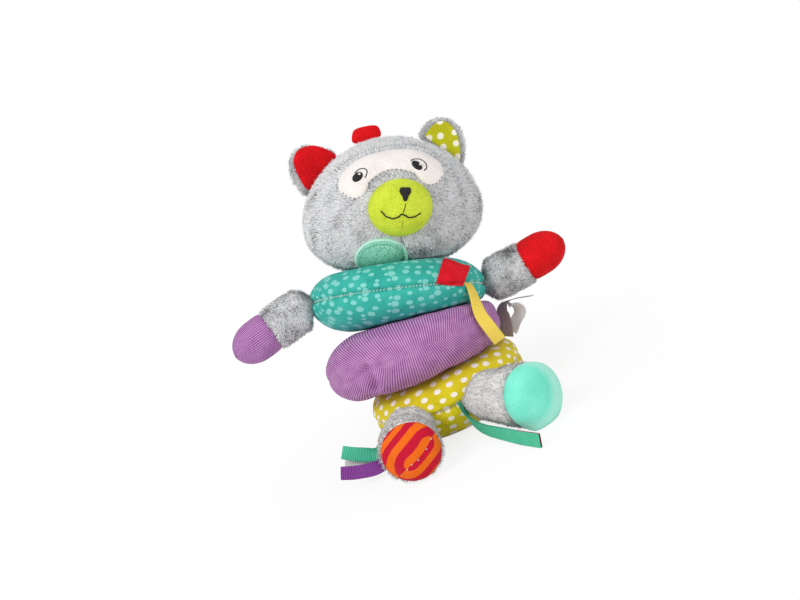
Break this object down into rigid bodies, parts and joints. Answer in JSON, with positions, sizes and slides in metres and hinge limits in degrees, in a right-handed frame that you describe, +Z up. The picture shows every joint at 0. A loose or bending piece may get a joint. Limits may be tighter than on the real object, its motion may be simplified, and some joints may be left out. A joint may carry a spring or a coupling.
{
  "type": "stuffed raccoon",
  "caption": "Stuffed toy raccoon built of stacked cushions on hook-and-loop discs, with swinging arms and legs, ears and ribbon tags.",
  "frame": {"origin": "middle of the flat seat under the base cushion, on the floor", "axes": "+Z up, the face looks along -Y, +X is the viewer's right"},
  "size_m": [0.2257, 0.209, 0.1963],
  "materials": {
    "grey_plush": "long pile plush",
    "stuffing": "loose fibre",
    "white_felt": "short pile",
    "black_stitch": "satin stitch",
    "lime_plush": "short pile plush",
    "red_cloth": "short pile",
    "chartreuse_dots": "printed cotton with cream dots",
    "teal_dots": "printed velour with pale dots",
    "purple_knit": "fine rib knit",
    "mint_disc": "hook and loop tape",
    "mint_plush": "short pile plush",
    "striped_sole": "printed with curved stripes",
    "mint_ribbon": "grosgrain",
    "white_ribbon": "grosgrain",
    "purple_ribbon": "grosgrain",
    "crimson_ribbon": "satin",
    "yellow_ribbon": "grosgrain",
    "dark_strap": "hook and loop tape",
    "white_label": "woven label"
  },
  "bodies": {
    "base": {"base_upper_panel": "chartreuse_dots", "base_lower_panel": "chartreuse_dots", "base_stuffing": "stuffing", "base_top_disc": "mint_disc", "mint_tag": "mint_ribbon", "white_tag": "white_ribbon", "purple_tag": "purple_ribbon", "long_ribbon": "mint_ribbon", "long_ribbon_lining": "crimson_ribbon"},
    "purple": {"purple_upper_panel": "purple_knit", "purple_lower_panel": "purple_knit", "purple_stuffing": "stuffing", "purple_under_disc": "mint_disc", "purple_top_disc": "mint_disc", "dark_strap": "dark_strap", "white_label": "white_label"},
    "teal": {"teal_upper_panel": "teal_dots", "teal_lower_panel": "teal_dots", "teal_stuffing": "stuffing", "teal_under_disc": "mint_disc", "teal_top_disc": "mint_disc", "red_tag": "red_cloth"},
    "head": {"head_face_panel": "grey_plush", "head_back_panel": "grey_plush", "head_stuffing": "stuffing", "head_under_disc": "mint_disc", "eye_mask": "white_felt", "left_pupil": "black_stitch", "right_pupil": "black_stitch", "muzzle": "lime_plush", "nose": "black_stitch", "crown_tab": "red_cloth"},
    "left_arm": {"left_sleeve": "grey_plush", "left_paw": "purple_knit", "left_arm_stuffing": "stuffing"},
    "right_arm": {"right_sleeve": "grey_plush", "right_paw": "red_cloth", "right_arm_stuffing": "stuffing"},
    "left_leg": {"left_leg_fur": "grey_plush", "left_sole": "striped_sole", "left_leg_stuffing": "stuffing"},
    "right_leg": {"right_leg_fur": "grey_plush", "right_foot": "mint_plush", "right_leg_stuffing": "stuffing"},
    "left_ear": {"left_ear_back": "grey_plush", "left_ear_lining": "red_cloth"},
    "right_ear": {"right_ear_back": "grey_plush", "right_ear_lining": "chartreuse_dots"},
    "yellow_ribbon": {"yellow_ribbon": "yellow_ribbon"}
  },
  "joints": [
    {"name": "purple_lift", "type": "slide", "parent": "base", "child": "purple", "axis": [0.0343, 0.1046, 0.9939], "range_m": [0, 0.06]},
    {"name": "teal_lift", "type": "slide", "parent": "purple", "child": "teal", "axis": [0.2005, 0.2442, 0.9488], "range_m": [0, 0.06]},
    {"name": "head_lift", "type": "slide", "parent": "teal", "child": "head", "axis": [0.2983, 0.259, 0.9187], "range_m": [0, 0.06]},
    {"name": "left_arm_swing", "type": "hinge", "parent": "teal", "child": "left_arm", "pos_m": [-0.05826, 0.01583, 0.10845], "axis": [-0.0943, 0.9613, -0.259], "range_deg": [-30, 60], "stiffness_Nm_per_rad": 0.1},
    {"name": "right_arm_swing", "type": "hinge", "parent": "teal", "child": "right_arm", "pos_m": [0.05224, 0.01583, 0.06823], "axis": [0.0943, -0.9613, 0.259], "range_deg": [0, 34], "stiffness_Nm_per_rad": 0.1},
    {"name": "left_leg_lift", "type": "hinge", "parent": "base", "child": "left_leg", "pos_m": [-0.02851, -0.04562, 0.022], "axis": [-0.848, 0.5299, 0], "range_deg": [0, 45]},
    {"name": "right_leg_lift", "type": "hinge", "parent": "base", "child": "right_leg", "pos_m": [0.01573, -0.05145, 0.022], "axis": [-0.9563, -0.2924, 0], "range_deg": [0, 45]},
    {"name": "left_ear_fold", "type": "hinge", "parent": "head", "child": "left_ear", "pos_m": [-0.01775, 0.03173, 0.17852], "axis": [0.7206, 0.2251, 0.6558], "range_deg": [-15, 20], "stiffness_Nm_per_rad": 0.01},
    {"name": "right_ear_fold", "type": "hinge", "parent": "head", "child": "right_ear", "pos_m": [0.06242, 0.03629, 0.16228], "axis": [0.4579, -0.1539, -0.8756], "range_deg": [-15, 20], "stiffness_Nm_per_rad": 0.01},
    {"name": "yellow_ribbon_swing", "type": "hinge", "parent": "teal", "child": "yellow_ribbon", "pos_m": [0.04144, -0.01823, 0.08255], "axis": [-0.5181, -0.747, 0.4165], "range_deg": [0, 60]}
  ]
}
